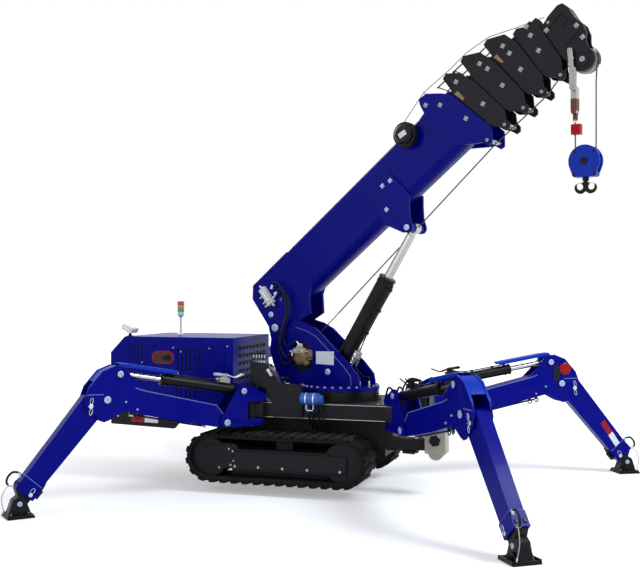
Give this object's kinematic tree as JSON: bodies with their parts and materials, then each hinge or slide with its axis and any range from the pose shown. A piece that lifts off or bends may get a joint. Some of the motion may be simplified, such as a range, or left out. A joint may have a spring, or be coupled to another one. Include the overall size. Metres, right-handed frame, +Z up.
{
  "type": "spider crane",
  "caption": "Compact crawler crane on rubber tracks, stood on jointed outrigger legs, with a telescopic boom raised on a slewing turret and a hook hanging from its tip.",
  "frame": {"origin": "on the ground, under the middle of the box around the whole machine as it stands in the picture", "axes": "+X towards the end of the carrier that the boom leans over, +Y towards the side away from the viewer, +Z up"},
  "size_m": [4.4423, 4.1395, 3.7547],
  "materials": {
    "paint_blue": "deep royal blue gloss paint",
    "paint_dark": "dark grey satin paint",
    "paint_black": "black satin paint",
    "rubber": "matte black rubber",
    "chrome": "polished hard chrome",
    "steel": "worn bare steel",
    "bronze": "beige satin paint",
    "filter_blue": "bright blue gloss paint",
    "paint_red": "red satin paint",
    "lamp_shell": "pale clear plastic",
    "engine": "dark oily castings"
  },
  "bodies": {
    "carrier": {"chassis_frame": "paint_dark", "track_frame_near": "paint_dark", "track_frame_far": "paint_dark", "track_near": "rubber", "track_far": "rubber", "slew_ring": "paint_black", "front_gear_case": "bronze", "engine_block": "engine", "hood": "paint_blue", "tower_lamp": "lamp_shell", "display": "lamp_shell", "control_box": "paint_dark", "oil_filter": "filter_blue"},
    "near_door": {"hood_door_near": "paint_blue"},
    "far_door": {"hood_door_far": "paint_blue"},
    "turret": {"turret": "paint_blue", "winch_motor": "bronze"},
    "drum": {"winch_drum": "steel"},
    "boom": {"boom_base": "paint_blue"},
    "reel": {"hose_reel": "paint_black"},
    "luff_barrel": {"luff_barrel": "paint_black"},
    "luff_rod": {"luff_rod": "chrome"},
    "section_1": {"boom_section_1": "paint_black"},
    "section_2": {"boom_section_2": "paint_black"},
    "section_3": {"boom_section_3": "paint_black"},
    "section_4": {"boom_section_4": "paint_black"},
    "tip": {"boom_tip": "paint_black"},
    "sheave": {"tip_sheave": "steel"},
    "hanging_gear": {"load_link": "steel", "limit_weight": "paint_red", "hook_block": "paint_blue"},
    "hook": {"hook": "paint_black"},
    "bracket_rear_near": {"leg_bracket_rear_near": "paint_blue"},
    "arm_rear_near": {"leg_arm_rear_near": "paint_blue"},
    "barrel_rear_near": {"leg_rear_near_barrel": "paint_black"},
    "rod_rear_near": {"leg_rear_near_rod": "chrome"},
    "lower_leg_rear_near": {"lower_leg_rear_near": "paint_blue"},
    "inner_leg_rear_near": {"inner_leg_rear_near": "paint_black"},
    "bracket_front_near": {"leg_bracket_front_near": "paint_blue"},
    "arm_front_near": {"leg_arm_front_near": "paint_blue"},
    "barrel_front_near": {"leg_front_near_barrel": "paint_black"},
    "rod_front_near": {"leg_front_near_rod": "chrome"},
    "lower_leg_front_near": {"lower_leg_front_near": "paint_blue"},
    "inner_leg_front_near": {"inner_leg_front_near": "paint_black"},
    "bracket_front_far": {"leg_bracket_front_far": "paint_blue"},
    "arm_front_far": {"leg_arm_front_far": "paint_blue"},
    "barrel_front_far": {"leg_front_far_barrel": "paint_black"},
    "rod_front_far": {"leg_front_far_rod": "chrome"},
    "lower_leg_front_far": {"lower_leg_front_far": "paint_blue"},
    "inner_leg_front_far": {"inner_leg_front_far": "paint_black"},
    "bracket_rear_far": {"leg_bracket_rear_far": "paint_blue"},
    "arm_rear_far": {"leg_arm_rear_far": "paint_blue"},
    "barrel_rear_far": {"leg_rear_far_barrel": "paint_black"},
    "rod_rear_far": {"leg_rear_far_rod": "chrome"},
    "lower_leg_rear_far": {"lower_leg_rear_far": "paint_blue"},
    "inner_leg_rear_far": {"inner_leg_rear_far": "paint_black"}
  },
  "joints": [
    {"name": "slew", "type": "hinge", "parent": "carrier", "child": "turret", "pos_m": [-0.2013, 0.0572, 0.82], "axis": [0, 0, 1], "continuous": true},
    {"name": "luff", "type": "hinge", "parent": "turret", "child": "boom", "pos_m": [-0.74922, 0.21431, 1.322], "axis": [-0.2756, -0.9613, 0], "range_deg": [-38.5, 37.5]},
    {"name": "luff_barrel_hinge", "type": "hinge", "parent": "turret", "child": "luff_barrel", "pos_m": [-0.22341, 0.06354, 0.965], "axis": [-0.2756, -0.9613, 0], "range_deg": [-38.6, 37.6]},
    {"name": "luff_rod_slide", "type": "slide", "parent": "luff_barrel", "child": "luff_rod", "axis": [0.5119, -0.1468, 0.8464], "range_m": [-0.405, 0.395]},
    {"name": "section_1_slide", "type": "slide", "parent": "boom", "child": "section_1", "axis": [0.7523, -0.2157, 0.6225], "range_m": [0, 1.5]},
    {"name": "section_2_slide", "type": "slide", "parent": "section_1", "child": "section_2", "axis": [0.7523, -0.2157, 0.6225], "range_m": [0, 1.5]},
    {"name": "section_3_slide", "type": "slide", "parent": "section_2", "child": "section_3", "axis": [0.7523, -0.2157, 0.6225], "range_m": [0, 1.5]},
    {"name": "section_4_slide", "type": "slide", "parent": "section_3", "child": "section_4", "axis": [0.7523, -0.2157, 0.6225], "range_m": [0, 1.5]},
    {"name": "tip_slide", "type": "slide", "parent": "section_4", "child": "tip", "axis": [0.7523, -0.2157, 0.6225], "range_m": [0, 1.5]},
    {"name": "tip_sheave_turn", "type": "hinge", "parent": "tip", "child": "sheave", "pos_m": [1.8473, -0.53023, 3.32365], "axis": [-0.2756, -0.9613, 0], "continuous": true},
    {"name": "hose_reel_turn", "type": "hinge", "parent": "boom", "child": "reel", "pos_m": [0.49574, -0.14267, 2.88247], "axis": [-0.2756, -0.9613, 0], "continuous": true},
    {"name": "winch_drum_turn", "type": "hinge", "parent": "turret", "child": "drum", "pos_m": [-0.48968, 0.13989, 1.08], "axis": [-0.2756, -0.9613, 0], "continuous": true},
    {"name": "hanging_gear_swing", "type": "hinge", "parent": "tip", "child": "hanging_gear", "pos_m": [1.77453, -0.50936, 3.3401], "axis": [-0.2756, -0.9613, 0], "range_deg": [-37.6, 38.6]},
    {"name": "hook_swivel", "type": "hinge", "parent": "hanging_gear", "child": "hook", "pos_m": [1.84903, -0.53072, 2.4735], "axis": [0, 0, 1], "continuous": true},
    {"name": "near_door_hinge", "type": "hinge", "parent": "carrier", "child": "near_door", "pos_m": [-0.2013, -0.3691, 1.2], "axis": [-1, 0, 0], "range_deg": [0, 80]},
    {"name": "far_door_hinge", "type": "hinge", "parent": "carrier", "child": "far_door", "pos_m": [-0.2013, 0.4835, 1.2], "axis": [1, 0, 0], "range_deg": [0, 80]},
    {"name": "leg_swing_rear_near", "type": "hinge", "parent": "carrier", "child": "bracket_rear_near", "pos_m": [-0.8243, -0.3998, 0.5867], "axis": [0, 0, 1], "range_deg": [-13.4, 41.6]},
    {"name": "leg_lift_rear_near", "type": "hinge", "parent": "bracket_rear_near", "child": "arm_rear_near", "pos_m": [-1.00024, -0.59797, 0.5867], "axis": [-0.7478, 0.6639, 0], "range_deg": [-10, 40]},
    {"name": "leg_barrel_hinge_rear_near", "type": "hinge", "parent": "bracket_rear_near", "child": "barrel_rear_near", "pos_m": [-0.90178, -0.48707, 0.8318], "axis": [-0.7478, 0.6639, 0], "range_deg": [-9.8, 39.1]},
    {"name": "leg_rod_slide_rear_near", "type": "slide", "parent": "barrel_rear_near", "child": "rod_rear_near", "axis": [-0.6541, -0.7367, 0.1718], "range_m": [-0.197, 0.05]},
    {"name": "leg_fold_rear_near", "type": "hinge", "parent": "arm_rear_near", "child": "lower_leg_rear_near", "pos_m": [-1.65499, -1.33543, 0.82219], "axis": [0.7478, -0.6639, 0], "range_deg": [0, 80]},
    {"name": "leg_extension_rear_near", "type": "slide", "parent": "lower_leg_rear_near", "child": "inner_leg_rear_near", "axis": [-0.4415, -0.4973, -0.7469], "range_m": [0, 0.35]},
    {"name": "leg_swing_front_near", "type": "hinge", "parent": "carrier", "child": "bracket_front_near", "pos_m": [0.4217, -0.3998, 0.5867], "axis": [0, 0, -1], "range_deg": [-39, 36]},
    {"name": "leg_lift_front_near", "type": "hinge", "parent": "bracket_front_near", "child": "arm_front_near", "pos_m": [0.57746, -0.61419, 0.5867], "axis": [-0.809, -0.5878, 0], "range_deg": [-10, 40]},
    {"name": "leg_barrel_hinge_front_near", "type": "hinge", "parent": "bracket_front_near", "child": "barrel_front_near", "pos_m": [0.49029, -0.49421, 0.8318], "axis": [-0.809, -0.5878, 0], "range_deg": [-9.8, 39.1]},
    {"name": "leg_rod_slide_front_near", "type": "slide", "parent": "barrel_front_near", "child": "rod_front_near", "axis": [0.579, -0.797, 0.1718], "range_m": [-0.197, 0.05]},
    {"name": "leg_fold_front_near", "type": "hinge", "parent": "arm_front_near", "child": "lower_leg_front_near", "pos_m": [1.15712, -1.41202, 0.82219], "axis": [0.809, 0.5878, 0], "range_deg": [0, 80]},
    {"name": "leg_extension_front_near", "type": "slide", "parent": "lower_leg_front_near", "child": "inner_leg_front_near", "axis": [0.3909, -0.538, -0.7469], "range_m": [0, 0.35]},
    {"name": "leg_swing_front_far", "type": "hinge", "parent": "carrier", "child": "bracket_front_far", "pos_m": [0.4217, 0.5142, 0.5867], "axis": [0, 0, 1], "range_deg": [-13.4, 61.6]},
    {"name": "leg_lift_front_far", "type": "hinge", "parent": "bracket_front_far", "child": "arm_front_far", "pos_m": [0.65481, 0.64024, 0.5867], "axis": [0.4756, -0.8796, 0], "range_deg": [-10, 40]},
    {"name": "leg_barrel_hinge_front_far", "type": "hinge", "parent": "bracket_front_far", "child": "barrel_front_far", "pos_m": [0.52435, 0.56971, 0.8318], "axis": [0.4756, -0.8796, 0], "range_deg": [-9.8, 39.1]},
    {"name": "leg_rod_slide_front_far", "type": "slide", "parent": "barrel_front_far", "child": "rod_front_far", "axis": [0.8666, 0.4686, 0.1718], "range_m": [-0.197, 0.05]},
    {"name": "leg_fold_front_far", "type": "hinge", "parent": "arm_front_far", "child": "lower_leg_front_far", "pos_m": [1.52229, 1.10929, 0.82219], "axis": [-0.4756, 0.8796, 0], "range_deg": [0, 80]},
    {"name": "leg_extension_front_far", "type": "slide", "parent": "lower_leg_front_far", "child": "inner_leg_front_far", "axis": [0.5849, 0.3163, -0.7469], "range_m": [0, 0.35]},
    {"name": "leg_swing_rear_far", "type": "hinge", "parent": "carrier", "child": "bracket_rear_far", "pos_m": [-0.8243, 0.5142, 0.5867], "axis": [0, 0, -1], "range_deg": [-13.4, 41.6]},
    {"name": "leg_lift_rear_far", "type": "hinge", "parent": "bracket_rear_far", "child": "arm_rear_far", "pos_m": [-1.00024, 0.71237, 0.5867], "axis": [0.7478, 0.6639, 0], "range_deg": [-10, 40]},
    {"name": "leg_barrel_hinge_rear_far", "type": "hinge", "parent": "bracket_rear_far", "child": "barrel_rear_far", "pos_m": [-0.90178, 0.60147, 0.8318], "axis": [0.7478, 0.6639, 0], "range_deg": [-9.8, 39.1]},
    {"name": "leg_rod_slide_rear_far", "type": "slide", "parent": "barrel_rear_far", "child": "rod_rear_far", "axis": [-0.6541, 0.7367, 0.1718], "range_m": [-0.197, 0.05]},
    {"name": "leg_fold_rear_far", "type": "hinge", "parent": "arm_rear_far", "child": "lower_leg_rear_far", "pos_m": [-1.65499, 1.44983, 0.82219], "axis": [-0.7478, -0.6639, 0], "range_deg": [0, 80]},
    {"name": "leg_extension_rear_far", "type": "slide", "parent": "lower_leg_rear_far", "child": "inner_leg_rear_far", "axis": [-0.4415, 0.4973, -0.7469], "range_m": [0, 0.35]}
  ],
  "couplings": [
    {"joint": "luff_barrel_hinge", "follows": "luff", "ratio": 1},
    {"joint": "luff_rod_slide", "follows": "luff", "m_per_rad": 0.6016},
    {"joint": "section_2_slide", "follows": "section_1_slide", "ratio": 1},
    {"joint": "section_3_slide", "follows": "section_1_slide", "ratio": 1},
    {"joint": "section_4_slide", "follows": "section_1_slide", "ratio": 1},
    {"joint": "tip_slide", "follows": "section_1_slide", "ratio": 1},
    {"joint": "hanging_gear_swing", "follows": "luff", "ratio": -1},
    {"joint": "leg_barrel_hinge_rear_near", "follows": "leg_lift_rear_near", "ratio": 0.975},
    {"joint": "leg_rod_slide_rear_near", "follows": "leg_lift_rear_near", "m_per_rad": -0.2807},
    {"joint": "leg_barrel_hinge_front_near", "follows": "leg_lift_front_near", "ratio": 0.975},
    {"joint": "leg_rod_slide_front_near", "follows": "leg_lift_front_near", "m_per_rad": -0.2807},
    {"joint": "leg_barrel_hinge_front_far", "follows": "leg_lift_front_far", "ratio": 0.975},
    {"joint": "leg_rod_slide_front_far", "follows": "leg_lift_front_far", "m_per_rad": -0.2807},
    {"joint": "leg_barrel_hinge_rear_far", "follows": "leg_lift_rear_far", "ratio": 0.975},
    {"joint": "leg_rod_slide_rear_far", "follows": "leg_lift_rear_far", "m_per_rad": -0.2807}
  ]
}
